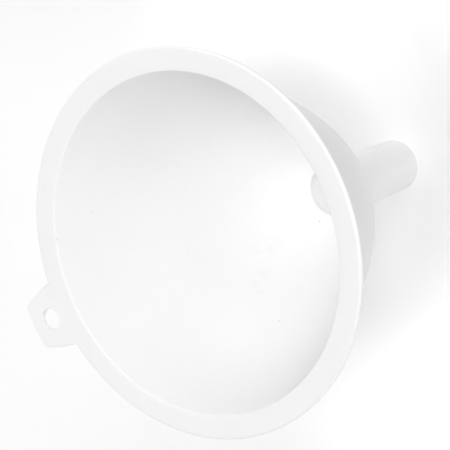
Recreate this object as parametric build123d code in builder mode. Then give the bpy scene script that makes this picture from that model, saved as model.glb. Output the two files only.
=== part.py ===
"""Plain plastic funnel: a flat rim flange with a hanging tab, a bulged bowl and a short spout.

Frame: the funnel stands mouth up, as it is used in the neck of a bottle. The origin
is the centre of the spout's outlet, +Z runs up the funnel's axis to the mouth, and the
hanging tab sticks out along -X. Lengths are millimetres and angles are degrees.

The funnel is one moulding. Its wall is made once, as one revolved section, and is then
parted at level planes into its features, which meet face to face.
"""
from build123d import *
import math
import os

# Overall size
rim_radius = 60.0
total_height = 112.4
spout_length = 37.7

# Rim flange: a flat ring with a full-round outer edge and a rounded inner lip
flange_thickness = 1.8
mouth_radius = 52.6
lip_round = 0.5
flange_root_round = 1.2
flange_skirt = 4.0

# Bowl: a bulged wall, steep below the rim and shallow at the spout
bowl_wall = 1.5
bowl_angle_at_rim = 16.5
bowl_angle_at_spout = 50.3
bowl_handle_at_rim = 54.0
bowl_handle_at_spout = 13.3

# Spout: a slightly tapered tube, cut square
spout_root_radius = 9.2
spout_tip_radius = 8.35
spout_wall = 1.4
spout_root_round = 2.6
spout_entry_round = 1.0
spout_tip_round = 0.35
spout_collar = 1.8

# Hanging tab: a tapered plate in the plane of the flange, with a round hole
tab_reach = 71.8
tab_end_half_width = 6.95
tab_middle_reach = 65.5
tab_middle_half_width = 9.05
tab_root_reach = 57.0
tab_root_half_width = 10.6
tab_corner_round = 0.65
tab_edge_round = 0.55
hole_radius = 3.4
hole_reach = 64.1

# Places worked out from the sizes above
flange_underside = total_height - flange_thickness
edge_round_centre = rim_radius - flange_thickness / 2
bowl_top = total_height - flange_skirt
bowl_bottom = spout_length + spout_collar
rim_slope = (math.sin(math.radians(bowl_angle_at_rim)), math.cos(math.radians(bowl_angle_at_rim)))
root_slope = (math.sin(math.radians(bowl_angle_at_spout)), math.cos(math.radians(bowl_angle_at_spout)))
outer_mouth_radius = mouth_radius + bowl_wall / rim_slope[1]

# The inner curve ends a wall's thickness inside the outer one, and a short cone joins it to the bore
inner_root_radius = spout_root_radius - bowl_wall * root_slope[1]
inner_root_height = spout_length + bowl_wall * root_slope[0]
bore_root_radius = spout_root_radius - spout_wall
bore_tip_radius = spout_tip_radius - spout_wall
bore_top = inner_root_height - (inner_root_radius - bore_root_radius) * root_slope[1] / root_slope[0]

os.makedirs("parts", exist_ok=True)


def bowl_curve(root_radius, root_height, top_radius):
    """Control points of the bowl's curve, from the spout's root up to the mouth."""
    return [
        (root_radius, root_height),
        (
            root_radius + bowl_handle_at_spout * root_slope[0],
            root_height + bowl_handle_at_spout * root_slope[1],
        ),
        (
            top_radius - bowl_handle_at_rim * rim_slope[0],
            total_height - bowl_handle_at_rim * rim_slope[1],
        ),
        (top_radius, total_height),
    ]


def circles_at(part, radius, height):
    """The round edges of a turned part that have this radius at this height."""
    level = part.edges().filter_by_position(Axis.Z, height - 0.01, height + 0.01)
    return [edge for edge in level if abs(edge.length - 2 * math.pi * radius) < 0.1]


# The whole turned wall, from the spout's outlet to the rim
with BuildPart() as wall:
    with BuildSketch(Plane.XZ):
        with BuildLine():
            Line((spout_tip_radius, 0), (spout_root_radius, spout_length))
            Bezier(*bowl_curve(spout_root_radius, spout_length, outer_mouth_radius))
            Line((outer_mouth_radius, total_height), (mouth_radius, total_height))
            Bezier(*bowl_curve(inner_root_radius, inner_root_height, mouth_radius))
            Line((inner_root_radius, inner_root_height), (bore_root_radius, bore_top))
            Line((bore_root_radius, bore_top), (bore_tip_radius, 0))
            Line((bore_tip_radius, 0), (spout_tip_radius, 0))
        make_face()
    revolve(axis=Axis.Z)
    with BuildSketch(Plane.XZ):
        with BuildLine():
            Line((outer_mouth_radius, total_height), (edge_round_centre, total_height))
            ThreePointArc(
                (edge_round_centre, total_height),
                (rim_radius, total_height - flange_thickness / 2),
                (edge_round_centre, flange_underside),
            )
            Line((edge_round_centre, flange_underside), (mouth_radius, flange_underside))
            Line((mouth_radius, flange_underside), (outer_mouth_radius, total_height))
        make_face()
    revolve(axis=Axis.Z)
    flange_roots = [
        edge
        for edge in wall.edges().filter_by_position(
            Axis.Z, flange_underside - 0.01, flange_underside + 0.01
        )
        if edge.length < 2 * math.pi * (outer_mouth_radius + 1)
    ]
    fillet(flange_roots, flange_root_round)
    fillet(circles_at(wall.part, mouth_radius, total_height), lip_round)
    fillet(circles_at(wall.part, spout_root_radius, spout_length), spout_root_round)
    fillet(circles_at(wall.part, bore_root_radius, bore_top), spout_entry_round)
    fillet(circles_at(wall.part, spout_tip_radius, 0), spout_tip_round)
    fillet(circles_at(wall.part, bore_tip_radius, 0), spout_tip_round)

# Hanging tab: bowed sides, an end concentric with the rim, and a root that fits the rim's edge
with BuildPart() as hanging_tab:
    with BuildSketch(Plane.XY.offset(flange_underside)):
        with BuildLine():
            tab_end = math.sqrt(tab_reach**2 - tab_end_half_width**2)
            ThreePointArc(
                (-tab_root_reach, tab_root_half_width),
                (-tab_middle_reach, tab_middle_half_width),
                (-tab_end, tab_end_half_width),
            )
            ThreePointArc(
                (-tab_end, tab_end_half_width),
                (-tab_reach, 0),
                (-tab_end, -tab_end_half_width),
            )
            ThreePointArc(
                (-tab_end, -tab_end_half_width),
                (-tab_middle_reach, -tab_middle_half_width),
                (-tab_root_reach, -tab_root_half_width),
            )
            Line((-tab_root_reach, -tab_root_half_width), (-tab_root_reach, tab_root_half_width))
        make_face()
    extrude(amount=flange_thickness)
    fillet(hanging_tab.edges().filter_by(Axis.Z).sort_by(Axis.X)[:2], tab_corner_round)
    rim_edges = hanging_tab.edges().filter_by(lambda edge: edge.center().X < -tab_root_reach - 0.1)
    fillet(rim_edges.filter_by(Axis.Z, reverse=True), tab_edge_round)
    with Locations((-hole_reach, 0, total_height)):
        Hole(hole_radius)
    with BuildSketch(Plane.XY.offset(flange_underside)):
        Circle(edge_round_centre)
    extrude(amount=flange_thickness, mode=Mode.SUBTRACT)

# Rim flange: the flange and the first few millimetres of wall under it
with BuildPart() as rim_flange:
    add(wall.part)
    split(bisect_by=Plane.XY.offset(bowl_top), keep=Keep.TOP)
    add(hanging_tab.part, mode=Mode.SUBTRACT)

# Bowl
with BuildPart() as bowl:
    add(wall.part)
    split(bisect_by=Plane.XY.offset(bowl_top), keep=Keep.BOTTOM)
    split(bisect_by=Plane.XY.offset(bowl_bottom), keep=Keep.TOP)

# Spout, with the collar that joins it to the bowl
with BuildPart() as spout:
    add(wall.part)
    split(bisect_by=Plane.XY.offset(bowl_bottom), keep=Keep.BOTTOM)

rim_flange.part.label = "rim_flange"
hanging_tab.part.label = "hanging_tab"
bowl.part.label = "bowl"
spout.part.label = "spout"

export_step(rim_flange.part, "parts/rim_flange.step")
export_step(hanging_tab.part, "parts/hanging_tab.step")
export_step(bowl.part, "parts/bowl.step")
export_step(spout.part, "parts/spout.step")
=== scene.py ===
"""Looks of the white plastic funnel: turned skins, the hanging tab, the plastic and the studio."""
import math
from functools import partial

import bmesh
import bpy
from mathutils import Matrix, Vector


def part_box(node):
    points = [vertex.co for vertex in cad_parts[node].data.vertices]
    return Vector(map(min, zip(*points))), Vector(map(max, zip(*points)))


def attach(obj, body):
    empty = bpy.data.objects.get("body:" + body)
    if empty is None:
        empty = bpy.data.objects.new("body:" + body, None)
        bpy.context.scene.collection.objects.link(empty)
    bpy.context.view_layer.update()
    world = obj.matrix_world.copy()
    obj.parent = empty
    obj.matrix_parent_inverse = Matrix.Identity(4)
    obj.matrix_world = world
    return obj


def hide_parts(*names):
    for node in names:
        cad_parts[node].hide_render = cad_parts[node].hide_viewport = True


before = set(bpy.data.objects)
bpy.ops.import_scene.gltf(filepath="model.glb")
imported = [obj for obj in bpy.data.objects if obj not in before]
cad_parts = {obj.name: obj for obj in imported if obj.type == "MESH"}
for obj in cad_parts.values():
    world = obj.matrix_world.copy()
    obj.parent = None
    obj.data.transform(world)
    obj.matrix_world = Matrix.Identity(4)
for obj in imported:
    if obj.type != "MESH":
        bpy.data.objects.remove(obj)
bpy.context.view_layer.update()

MM = 0.001
TAU = 2 * math.pi

# ---------------------------------------------------------------------------
# Sizes. The frame gives the overall ones, and the rest repeat the CAD part's. Only the
# slope beside the lip and the rounding of the hole's edges are added here.
# ---------------------------------------------------------------------------
flange_low, flange_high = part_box("rim_flange")
bowl_low, bowl_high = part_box("bowl")
tab_low, tab_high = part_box("hanging_tab")

rim_radius = round(flange_high[0], 4)
mouth_height = flange_high[2]
flange_underside = tab_low[2]
flange_thickness = mouth_height - flange_underside
edge_round = flange_thickness / 2
edge_centre_radius = rim_radius - edge_round
edge_centre_height = mouth_height - edge_round
bowl_top = bowl_high[2]
bowl_bottom = bowl_low[2]

mouth_radius = 52.6 * MM
lip_slope_width = 2.4 * MM
lip_drop = 0.08 * MM
lip_round = 0.50 * MM
flange_root_round = 1.2 * MM
bowl_wall = 1.5 * MM
bowl_angle_at_rim = math.radians(16.5)
bowl_angle_at_spout = math.radians(50.3)
bowl_handle_at_rim = 54.0 * MM
bowl_handle_at_spout = 13.3 * MM
spout_length = 37.7 * MM
spout_root_radius = 9.2 * MM
spout_tip_radius = 8.35 * MM
spout_wall = 1.4 * MM
spout_root_round = 2.6 * MM
spout_entry_round = 1.0 * MM
spout_tip_round = 0.35 * MM

tab_reach = -tab_low[0]
tab_end_half_width = 6.95 * MM
tab_middle_reach = 65.5 * MM
tab_middle_half_width = 9.05 * MM
tab_root_reach = 57.0 * MM
tab_root_half_width = 10.6 * MM
tab_corner_round = 0.65 * MM
tab_edge_round = 0.55 * MM
hole_radius = 3.4 * MM
hole_edge_round = 0.2 * MM
hole_reach = 64.1 * MM

TURN_STEPS = 288
BOWL_STEPS = 90
TUBE_STEPS = 30
EDGE_STEPS = 20
TAB_EDGE_STEPS = 24
TAB_CAP_STEPS = 8
CREASE_ANGLE = math.radians(35)
SAME_POINT = 1e-7


# ---------------------------------------------------------------------------
# Plane curves, as lists of (radius, height)
# ---------------------------------------------------------------------------
def straight(start, end, steps):
    """Evenly spaced points from start to end, both included."""
    return [tuple(a + (b - a) * i / steps for a, b in zip(start, end)) for i in range(steps + 1)]


def bezier(p0, p1, p2, p3, steps):
    """Points along a cubic Bezier curve, both ends included."""
    points = []
    for i in range(steps + 1):
        t = i / steps
        weights = ((1 - t) ** 3, 3 * (1 - t) ** 2 * t, 3 * (1 - t) * t * t, t**3)
        points.append(
            tuple(sum(w * p[k] for w, p in zip(weights, (p0, p1, p2, p3))) for k in (0, 1))
        )
    return points


def distance(a, b):
    return math.hypot(a[0] - b[0], a[1] - b[1])


def joined(first, second, radius=0.0, steps=8):
    """Two paths that meet at a corner, as one path, with the corner rounded."""
    corner = first[-1]
    if radius == 0.0:
        return first + second[1:]
    into = Vector(first[-2]) - Vector(corner)
    out = Vector(second[1]) - Vector(corner)
    into.normalize()
    out.normalize()
    half = into.angle(out) / 2
    reach = radius / math.tan(half)
    centre = Vector(corner) + (into + out).normalized() * (radius / math.sin(half))
    start = Vector(corner) + into * reach - centre
    end = Vector(corner) + out * reach - centre
    sweep = start.angle_signed(end)
    arc = []
    for i in range(steps + 1):
        turned = start.copy()
        turned.rotate(Matrix.Rotation(-sweep * i / steps, 2))
        arc.append(tuple(centre + turned))
    kept_first = [p for p in first if distance(p, corner) > reach * 1.05]
    kept_second = [p for p in second if distance(p, corner) > reach * 1.05]
    return kept_first + arc + kept_second


def cut(path, low, high):
    """The stretch of a path between two heights, with a point exactly on each cut."""
    inside = []
    for a, b in zip(path, path[1:]):
        if low <= a[1] <= high:
            inside.append(a)
        for level in (low, high):
            if (a[1] - level) * (b[1] - level) < 0:
                t = (level - a[1]) / (b[1] - a[1])
                inside.append((a[0] + t * (b[0] - a[0]), level))
    if low <= path[-1][1] <= high:
        inside.append(path[-1])
    return inside


# ---------------------------------------------------------------------------
# The wall's section: one path up the outside and one down the inside
# ---------------------------------------------------------------------------
def bowl_path(root, top_radius):
    """The bowl's curve, from the spout's root up to the mouth."""
    top = (top_radius, mouth_height)
    near_root = (
        root[0] + bowl_handle_at_spout * math.sin(bowl_angle_at_spout),
        root[1] + bowl_handle_at_spout * math.cos(bowl_angle_at_spout),
    )
    near_top = (
        top[0] - bowl_handle_at_rim * math.sin(bowl_angle_at_rim),
        top[1] - bowl_handle_at_rim * math.cos(bowl_angle_at_rim),
    )
    return bezier(root, near_root, near_top, top, BOWL_STEPS)


def outside_path():
    """From the middle of the outlet's edge, up the outside, round the rim to the middle of its face."""
    outlet = straight((spout_tip_radius - spout_wall / 2, 0), (spout_tip_radius, 0), 2)
    spout = straight((spout_tip_radius, 0), (spout_root_radius, spout_length), TUBE_STEPS)
    outer_mouth_radius = mouth_radius + bowl_wall / math.cos(bowl_angle_at_rim)
    bowl = bowl_path((spout_root_radius, spout_length), outer_mouth_radius)
    bowl = cut(bowl, 0, flange_underside)
    ledge = straight(bowl[-1], (edge_centre_radius, flange_underside), 8)
    edge = [
        (
            edge_centre_radius + edge_round * math.sin(math.pi * i / EDGE_STEPS),
            edge_centre_height - edge_round * math.cos(math.pi * i / EDGE_STEPS),
        )
        for i in range(EDGE_STEPS + 1)
    ]
    face_middle = (mouth_radius + edge_centre_radius) / 2
    face = straight((edge_centre_radius, mouth_height), (face_middle, mouth_height), 4)
    path = joined(outlet, spout, spout_tip_round)
    path = joined(path, bowl, spout_root_round, 12)
    path = joined(path, ledge, flange_root_round)
    return joined(joined(path, edge), face)


def inside_path():
    """From the middle of the rim's face, down the inside, to the middle of the outlet's edge."""
    root = (
        spout_root_radius - bowl_wall * math.cos(bowl_angle_at_spout),
        spout_length + bowl_wall * math.sin(bowl_angle_at_spout),
    )
    bore_root_radius = spout_root_radius - spout_wall
    bore_tip_radius = spout_tip_radius - spout_wall
    bore_top = root[1] - (root[0] - bore_root_radius) / math.tan(bowl_angle_at_spout)
    face_middle = (mouth_radius + edge_centre_radius) / 2
    bowl = cut(bowl_path(root, mouth_radius)[::-1], 0, mouth_height - lip_drop)
    slope_start = mouth_radius + lip_slope_width
    face = straight((face_middle, mouth_height), (slope_start, mouth_height), 3)
    slope_middle = ((slope_start + bowl[0][0]) / 2, mouth_height)
    slope = bezier((slope_start, mouth_height), slope_middle, slope_middle, bowl[0], 12)
    face = face + slope[1:]
    throat = straight(root, (bore_root_radius, bore_top), 3)
    bore = straight((bore_root_radius, bore_top), (bore_tip_radius, 0), TUBE_STEPS)
    outlet = straight((bore_tip_radius, 0), (bore_tip_radius + spout_wall / 2, 0), 2)
    path = joined(face, bowl, lip_round, 8)
    path = joined(joined(path, throat), bore, spout_entry_round)
    return joined(path, outlet, spout_tip_round)


# ---------------------------------------------------------------------------
# Meshes
# ---------------------------------------------------------------------------
def mesh_object(name, vertices, faces):
    """A smooth-shaded object with creases where its faces meet steeply."""
    mesh = bpy.data.meshes.new(name)
    mesh.from_pydata(vertices, [], faces)
    mesh.validate()
    mesh.polygons.foreach_set("use_smooth", [True] * len(mesh.polygons))
    mesh.set_sharp_from_angle(angle=CREASE_ANGLE)
    piece = bpy.data.objects.new(name, mesh)
    bpy.context.collection.objects.link(piece)
    return piece


def turned(name, outside, inside):
    """A closed ring: the section between the outside path and the inside path, turned about Z."""
    section = outside + inside
    pairs = zip(section, section[1:] + section[:1])
    section = [p for p, q in pairs if distance(p, q) > SAME_POINT]
    count = len(section)
    vertices = []
    for i in range(TURN_STEPS):
        angle = TAU * i / TURN_STEPS
        vertices += [(r * math.cos(angle), r * math.sin(angle), z) for r, z in section]
    faces = []
    for i in range(TURN_STEPS):
        here, there = i * count, (i + 1) % TURN_STEPS * count
        for k in range(count):
            following = (k + 1) % count
            faces.append((here + k, there + k, there + following, here + following))
    return mesh_object(name, vertices, faces)


def circle_through(a, b, c):
    """Centre and radius of the circle through three points of a plane."""
    ax, ay, bx, by, cx, cy = *a, *b, *c
    d = 2 * (ax * (by - cy) + bx * (cy - ay) + cx * (ay - by))
    sa, sb, sc = ax * ax + ay * ay, bx * bx + by * by, cx * cx + cy * cy
    x = (sa * (by - cy) + sb * (cy - ay) + sc * (ay - by)) / d
    y = (sa * (cx - bx) + sb * (ax - cx) + sc * (bx - ax)) / d
    return (x, y), distance((x, y), a)


def circles_cross(c1, r1, c2, r2, near):
    """The crossing of two circles that lies nearer to the given point."""
    d = distance(c1, c2)
    along = (r1 * r1 - r2 * r2 + d * d) / (2 * d)
    off = math.sqrt(r1 * r1 - along * along)
    ux, uy = (c2[0] - c1[0]) / d, (c2[1] - c1[1]) / d
    foot = (c1[0] + along * ux, c1[1] + along * uy)
    crossings = [(foot[0] - s * off * uy, foot[1] + s * off * ux) for s in (1, -1)]
    return min(crossings, key=lambda p: distance(p, near))


def arc(centre, start, end, steps):
    """Points along the shorter arc from start to end about a centre, both ends included."""
    first = math.atan2(start[1] - centre[1], start[0] - centre[0])
    sweep = math.atan2(end[1] - centre[1], end[0] - centre[0]) - first
    sweep = (sweep + math.pi) % TAU - math.pi
    radius = distance(centre, start)
    angles = [first + sweep * i / steps for i in range(steps + 1)]
    return [(centre[0] + radius * math.cos(a), centre[1] + radius * math.sin(a)) for a in angles]


def toward(centre, point, radius):
    """The point at a radius from a centre, in the direction of another point."""
    scale = radius / distance(centre, point)
    return tuple(c + (p - c) * scale for c, p in zip(centre, point))


def edge_inset(height, radius):
    """How far a rounded edge of the tab stands back at this height."""
    past = max(height - (mouth_height - radius), flange_underside + radius - height, 0.0)
    return radius - math.sqrt(max(radius * radius - past * past, 0.0))


def tab_outline(height):
    """The tab's outline at a height, round from its root. The root fits the rim's round edge."""
    axis = (0.0, 0.0)
    inset = edge_inset(height, tab_edge_round)
    rise = height - edge_centre_height
    root_radius = edge_centre_radius + math.sqrt(max(edge_round**2 - rise * rise, 0.0))
    end_corner = (-math.sqrt(tab_reach**2 - tab_end_half_width**2), tab_end_half_width)
    side_centre, side_radius = circle_through(
        (-tab_root_reach, tab_root_half_width),
        (-tab_middle_reach, tab_middle_half_width),
        end_corner,
    )
    round_centre = circles_cross(
        side_centre, side_radius - tab_corner_round, axis, tab_reach - tab_corner_round, end_corner
    )
    small = tab_corner_round - inset
    side_end = toward(side_centre, round_centre, side_radius - inset)
    end_start = toward(axis, round_centre, tab_reach - inset)
    root_corner = circles_cross(
        side_centre, side_radius - inset, axis, root_radius, (-root_radius, tab_root_half_width)
    )
    half = arc(axis, (-root_radius, 0.0), root_corner, 10)
    half += arc(side_centre, root_corner, side_end, 16)[1:]
    half += arc(round_centre, side_end, end_start, 6)[1:] if small > 0 else []
    half += arc(axis, end_start, (-(tab_reach - inset), 0.0), 8)[1:]
    return half + [(x, -y) for x, y in half[-2:0:-1]]


def part_way(first, second, share):
    """The loop that lies this share of the way from one loop of points to another."""
    return [tuple(a + (b - a) * share for a, b in zip(p, q)) for p, q in zip(first, second)]


def hanging_tab_mesh():
    """A plate with rounded edges, a round hole, and a hollow root round the rim's edge."""
    turns = [math.pi * (i / TAB_EDGE_STEPS - 0.5) for i in range(TAB_EDGE_STEPS + 1)]
    levels = [edge_centre_height + edge_round * math.sin(turn) for turn in turns]
    hole_centre = (-hole_reach, 0.0)
    outlines = [tab_outline(z) for z in levels]
    holes = []
    for z, outline in zip(levels, outlines):
        radius = hole_radius + edge_inset(z, hole_edge_round)
        holes.append([toward(hole_centre, p, radius) for p in outline])

    # Up the outline, across the top, down the hole and back across the underside
    shares = [step / TAB_CAP_STEPS for step in range(1, TAB_CAP_STEPS)]
    loops = list(zip(outlines, levels))
    loops += [(part_way(outlines[-1], holes[-1], share), levels[-1]) for share in shares]
    loops += list(zip(holes[::-1], levels[::-1]))
    loops += [(part_way(outlines[0], holes[0], share), levels[0]) for share in shares[::-1]]

    count = len(outlines[0])
    vertices = [(x, y, height) for points, height in loops for x, y in points]
    faces = []
    for i in range(len(loops)):
        here, there = i * count, (i + 1) % len(loops) * count
        for k in range(count):
            following = (k + 1) % count
            faces.append((here + k, here + following, there + following, there + k))
    return mesh_object("hanging_tab_skin", vertices, faces)


def outward(piece):
    """Turns the piece's faces outward."""
    work = bmesh.new()
    work.from_mesh(piece.data)
    bmesh.ops.recalc_face_normals(work, faces=work.faces)
    work.to_mesh(piece.data)
    work.free()


outside, inside = outside_path(), inside_path()


def wall_between(name, low, high):
    """The stretch of the turned wall between two heights."""
    return turned(name, cut(outside, low, high), cut(inside, low, high))


above_all = mouth_height + 1 * MM
below_all = -1 * MM
stands_for = {
    "rim_flange": wall_between("rim_flange_skin", bowl_top, above_all),
    "bowl": wall_between("bowl_skin", bowl_bottom, bowl_top),
    "spout": wall_between("spout_skin", below_all, bowl_bottom),
    "hanging_tab": hanging_tab_mesh(),
}
for node, piece in stands_for.items():
    outward(piece)
    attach(piece, "root")
    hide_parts(node)


# ---------------------------------------------------------------------------
# Node helpers
# ---------------------------------------------------------------------------
def remap(tree, value, start, end, at_start, at_end, smooth=False):
    """A value mapped from start..end to at_start..at_end, and held beyond both ends."""
    node = tree.nodes.new("ShaderNodeMapRange")
    node.interpolation_type = "SMOOTHSTEP" if smooth else "LINEAR"
    bounds = zip(("From Min", "From Max", "To Min", "To Max"), (start, end, at_start, at_end))
    for name, bound in bounds:
        node.inputs[name].default_value = bound
    tree.links.new(value, node.inputs["Value"])
    return node.outputs["Result"]


def combine(tree, operation, first, second):
    """Arithmetic on two values, each a socket or a float."""
    node = tree.nodes.new("ShaderNodeMath")
    node.operation = operation
    for socket, value in zip(node.inputs, (first, second)):
        if isinstance(value, float):
            socket.default_value = value
        else:
            tree.links.new(value, socket)
    return node.outputs["Value"]


def axes_of(tree, vector):
    """The X, Y and Z of a vector."""
    node = tree.nodes.new("ShaderNodeSeparateXYZ")
    tree.links.new(vector, node.inputs[0])
    return node.outputs


def length_of(tree, vector):
    """The length of a vector."""
    node = tree.nodes.new("ShaderNodeVectorMath")
    node.operation = "LENGTH"
    tree.links.new(vector, node.inputs[0])
    return node.outputs["Value"]


# ---------------------------------------------------------------------------
# Plastic
# ---------------------------------------------------------------------------
PLASTIC_WHITE = 0.90
WHITE = (1, 1, 1, 1)

# How strongly each mark darkens the plastic, 1 for not at all
CLOUD_TONE = 0.985
GRAIN_TONE = 0.985
FINE_SPECK_TONE = 0.86
BOLD_SPECK_TONE = 0.7
HAIRLINE_TONE = 0.97
SMUDGE_TONE = 0.965

ROUGHNESS_LOW = 0.42
ROUGHNESS_HIGH = 0.50
ROUGHER_MARKS = 0.12
SPECULAR_LEVEL = 0.35
GRAIN_BUMP = 0.35
GRAIN_DEPTH = 0.06 * MM

# The bore is narrower than this everywhere, and the spout's outside is wider
BORE_LIMIT = 8.05 * MM
BORE_GLOW = 0.10


def white_plastic():
    """Satin white plastic: a faint cloudiness, a fine mould grain, specks, hairlines and scuffs."""
    material = bpy.data.materials.new("white_plastic")
    material.use_nodes = True
    tree = material.node_tree
    nodes, links = tree.nodes, tree.links
    shader = nodes["Principled BSDF"]
    place = nodes.new("ShaderNodeTexCoord").outputs["Object"]
    ramp = partial(remap, tree)
    times = partial(combine, tree, "MULTIPLY")
    plus = partial(combine, tree, "ADD")

    def noise(size, detail=2.0, distortion=0.0):
        """Noise whose features are about this size, 0 to 1."""
        node = nodes.new("ShaderNodeTexNoise")
        node.inputs["Scale"].default_value = 1 / size
        node.inputs["Detail"].default_value = detail
        node.inputs["Distortion"].default_value = distortion
        links.new(place, node.inputs["Vector"])
        return node.outputs["Fac"]

    def cells(size, feature, where=place):
        """Distance, in metres, to the nearest point or edge of scattered cells of this size."""
        node = nodes.new("ShaderNodeTexVoronoi")
        node.feature = feature
        node.inputs["Scale"].default_value = 1 / size
        links.new(where, node.inputs["Vector"])
        return times(node.outputs["Distance"], size)

    def bent(size, reach):
        """The place, pushed about by noise of this size, by up to this reach."""
        bend = nodes.new("ShaderNodeTexNoise")
        bend.inputs["Scale"].default_value = 1 / size
        links.new(place, bend.inputs["Vector"])
        node = nodes.new("ShaderNodeVectorMath")
        node.operation = "MULTIPLY_ADD"
        links.new(bend.outputs["Color"], node.inputs[0])
        node.inputs[1].default_value = (reach, reach, reach)
        links.new(place, node.inputs[2])
        return node.outputs[0]

    # The cloud and the grain are plain noise. Each mark is 1 where it is and 0 elsewhere.
    cloud = noise(28 * MM, 3.0, 0.6)
    grain = noise(0.7 * MM, 3.0)
    fine_specks = ramp(cells(5.5 * MM, "F1"), 0.10 * MM, 0.24 * MM, 1.0, 0.0)
    bold_specks = ramp(cells(15 * MM, "F1"), 0.18 * MM, 0.40 * MM, 1.0, 0.0)
    worn_patches = ramp(noise(9 * MM, 1.0), 0.69, 0.75, 0.0, 1.0)
    crossing_lines = cells(24 * MM, "DISTANCE_TO_EDGE", bent(30 * MM, 12 * MM))
    hairlines = times(ramp(crossing_lines, 0.04 * MM, 0.14 * MM, 1.0, 0.0), worn_patches)
    rubbed_patches = ramp(noise(16 * MM, 2.0), 0.62, 0.74, 0.0, 1.0)
    smudges = times(rubbed_patches, ramp(noise(2.2 * MM), 0.45, 0.7, 0.0, 1.0))

    tone = times(ramp(cloud, 0.3, 0.7, CLOUD_TONE, 1.0), ramp(grain, 0.3, 0.7, GRAIN_TONE, 1.0))
    tone = times(tone, ramp(fine_specks, 0.0, 1.0, 1.0, FINE_SPECK_TONE))
    tone = times(tone, ramp(bold_specks, 0.0, 1.0, 1.0, BOLD_SPECK_TONE))
    tone = times(tone, ramp(hairlines, 0.0, 1.0, 1.0, HAIRLINE_TONE))
    tone = times(tone, ramp(smudges, 0.0, 1.0, 1.0, SMUDGE_TONE))
    links.new(times(tone, PLASTIC_WHITE), shader.inputs["Base Color"])

    roughness = ramp(noise(11 * MM, 3.0), 0.3, 0.7, ROUGHNESS_LOW, ROUGHNESS_HIGH)
    roughness = plus(roughness, times(plus(hairlines, smudges), ROUGHER_MARKS))
    links.new(roughness, shader.inputs["Roughness"])
    shader.inputs["Specular IOR Level"].default_value = SPECULAR_LEVEL

    # The spout's thin wall lets light through. A faint glow in its bore stands for that.
    across = nodes.new("ShaderNodeVectorMath")
    across.operation = "MULTIPLY"
    links.new(place, across.inputs[0])
    across.inputs[1].default_value = (1, 1, 0)
    radius = length_of(tree, across.outputs[0])
    height = axes_of(tree, place)["Z"]
    within = ramp(radius, BORE_LIMIT, BORE_LIMIT + 0.05 * MM, 1.0, 0.0)
    below = ramp(height, spout_length - 1.5 * MM, spout_length + 0.5 * MM, 1.0, 0.0)
    links.new(times(times(within, below), BORE_GLOW), shader.inputs["Emission Strength"])
    shader.inputs["Emission Color"].default_value = WHITE

    bump = nodes.new("ShaderNodeBump")
    bump.inputs["Strength"].default_value = GRAIN_BUMP
    bump.inputs["Distance"].default_value = GRAIN_DEPTH
    links.new(grain, bump.inputs["Height"])
    links.new(bump.outputs["Normal"], shader.inputs["Normal"])
    return material


plastic = white_plastic()
for piece in stands_for.values():
    piece.data.materials.append(plastic)

# ---------------------------------------------------------------------------
# Studio
# ---------------------------------------------------------------------------
# The table: pale, greyer toward +X, with a painted glow round the spout that lightens the funnel's
# shadow
FLOOR_PALE = 0.93
FLOOR_GREY = 0.60
FLOOR_ROUGHNESS = 0.9
FLOOR_GLOW_STRENGTH = 0.28

floor_half = 6.0
floor_mesh = bpy.data.meshes.new("floor")
floor_corners = [(-1, -1), (1, -1), (1, 1), (-1, 1)]
floor_mesh.from_pydata(
    [(x * floor_half, y * floor_half, 0) for x, y in floor_corners], [], [(0, 1, 2, 3)]
)
floor_paint = bpy.data.materials.new("floor_paint")
floor_paint.use_nodes = True
floor_tree = floor_paint.node_tree
floor_shader = floor_tree.nodes["Principled BSDF"]
floor_place = floor_tree.nodes.new("ShaderNodeTexCoord").outputs["Object"]
floor_x = axes_of(floor_tree, floor_place)["X"]
from_axis = length_of(floor_tree, floor_place)
paint = remap(floor_tree, floor_x, -10 * MM, 150 * MM, FLOOR_PALE, FLOOR_GREY, smooth=True)
floor_tree.links.new(paint, floor_shader.inputs["Base Color"])
# Painted light: the floor glows round the spout, which lightens the funnel's cast shadow there
glow_behind = remap(floor_tree, floor_x, -5 * MM, 35 * MM, FLOOR_GLOW_STRENGTH, 0.0, smooth=True)
glow_near = remap(floor_tree, from_axis, 60 * MM, 120 * MM, 1.0, 0.0, smooth=True)
painted_floor_glow = combine(floor_tree, "MULTIPLY", glow_behind, glow_near)
floor_tree.links.new(painted_floor_glow, floor_shader.inputs["Emission Strength"])
floor_shader.inputs["Emission Color"].default_value = WHITE
floor_shader.inputs["Roughness"].default_value = FLOOR_ROUGHNESS
floor_mesh.materials.append(floor_paint)
floor = bpy.data.objects.new("floor", floor_mesh)
bpy.context.collection.objects.link(floor)


def direction(azimuth, elevation):
    """The unit vector at an azimuth from +X and an elevation, both in radians."""
    level = math.cos(elevation)
    return Vector((level * math.cos(azimuth), level * math.sin(azimuth), math.sin(elevation)))


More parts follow.
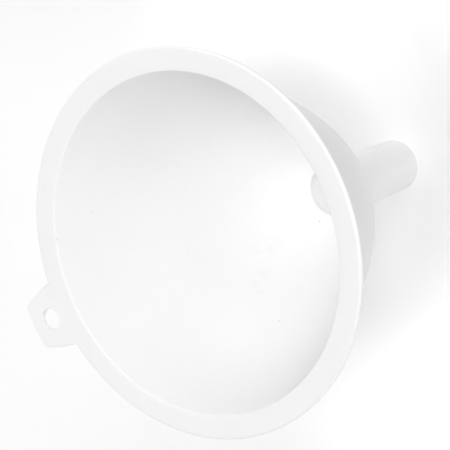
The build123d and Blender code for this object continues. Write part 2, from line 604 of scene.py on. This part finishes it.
camera_aim = Vector((14.9 * MM, 0.8 * MM, mouth_height))
camera_distance = 0.820
camera_azimuth = math.radians(-4.93)
camera_elevation = math.radians(50.92)
camera_roll = math.radians(111.39)
camera_data = bpy.data.cameras.new("camera")
camera_data.lens = 224
camera_data.sensor_width = 36
camera = bpy.data.objects.new("camera", camera_data)
bpy.context.collection.objects.link(camera)
toward_camera = direction(camera_azimuth, camera_elevation)
camera.location = camera_aim + toward_camera * camera_distance
level = (-toward_camera).to_track_quat("-Z", "Y").to_matrix()
camera.rotation_euler = (level @ Matrix.Rotation(-camera_roll, 3, "Z")).to_euler()
bpy.context.scene.camera = camera

# Large distant softboxes: name, azimuth from +X and elevation in degrees, strength
SOFTBOX_ANGLE = math.radians(22)
OVERHEAD = 1.35
KEY = 0.6
SIDE = 0.4
FILL = 0.2
softboxes = (
    ("top", 0, 75, OVERHEAD),
    ("key", 355, 62, KEY),
    ("front", 30, 32, SIDE),
    ("left", 90, 32, SIDE),
    ("right", 300, 32, SIDE),
    ("front_fill", 40, 62, FILL),
    ("back_fill", 135, 52, FILL),
    ("low_fill", 270, 12, FILL),
)
for name, azimuth, elevation, strength in softboxes:
    lamp = bpy.data.lights.new(name, "SUN")
    lamp.angle = SOFTBOX_ANGLE
    lamp.energy = strength
    softbox = bpy.data.objects.new(name, lamp)
    bpy.context.collection.objects.link(softbox)
    toward_lamp = direction(math.radians(azimuth), math.radians(elevation))
    softbox.location = toward_lamp
    softbox.rotation_euler = toward_lamp.to_track_quat("Z", "Y").to_euler()

# A bright horizon that fades out overhead
HORIZON_LIGHT = 0.8
world = bpy.data.worlds.new("studio")
world.use_nodes = True
world_tree = world.node_tree
sky_direction = world_tree.nodes.new("ShaderNodeTexCoord").outputs["Generated"]
sky_height = axes_of(world_tree, sky_direction)["Z"]
sky_light = remap(world_tree, sky_height, 0.2, 0.6, HORIZON_LIGHT, 0.0, smooth=True)
backdrop = world_tree.nodes["Background"]
backdrop.inputs["Color"].default_value = WHITE
world_tree.links.new(sky_light, backdrop.inputs["Strength"])
bpy.context.scene.world = world
bpy.context.scene.view_settings.view_transform = "Standard"
